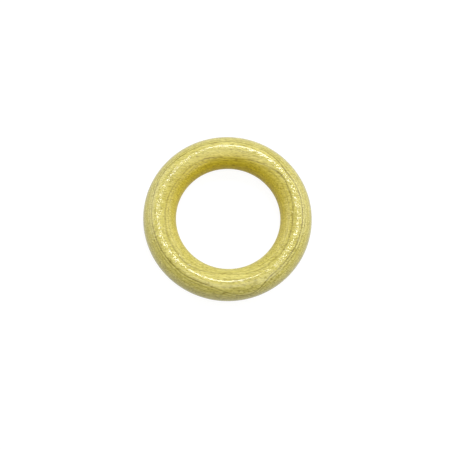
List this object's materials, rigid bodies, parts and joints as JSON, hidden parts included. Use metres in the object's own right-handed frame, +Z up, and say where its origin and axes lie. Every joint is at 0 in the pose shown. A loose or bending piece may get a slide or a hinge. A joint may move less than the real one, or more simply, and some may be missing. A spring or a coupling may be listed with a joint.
{
  "type": "juggling ring",
  "caption": "Turned hardwood ring with a round section and a clear gloss lacquer, handled, tossed or threaded on a cord as a magic and circus prop; it rests flat on either face.",
  "frame": {"origin": "on the ring's axis, in the plane of the lower flat land that it rests on", "axes": "+Z up along the ring's axis; X and Y across the ring and alike by symmetry. The grain of the wood runs near X"},
  "size_m": [0.055, 0.055, 0.0105],
  "materials": {
    "lacquered_wood": "clear gloss lacquer over pale yellow hardwood, fine growth lines, end-grain fleck at the two sides"
  },
  "bodies": {
    "root": {"wooden_ring": "lacquered_wood"}
  },
  "joints": []
}
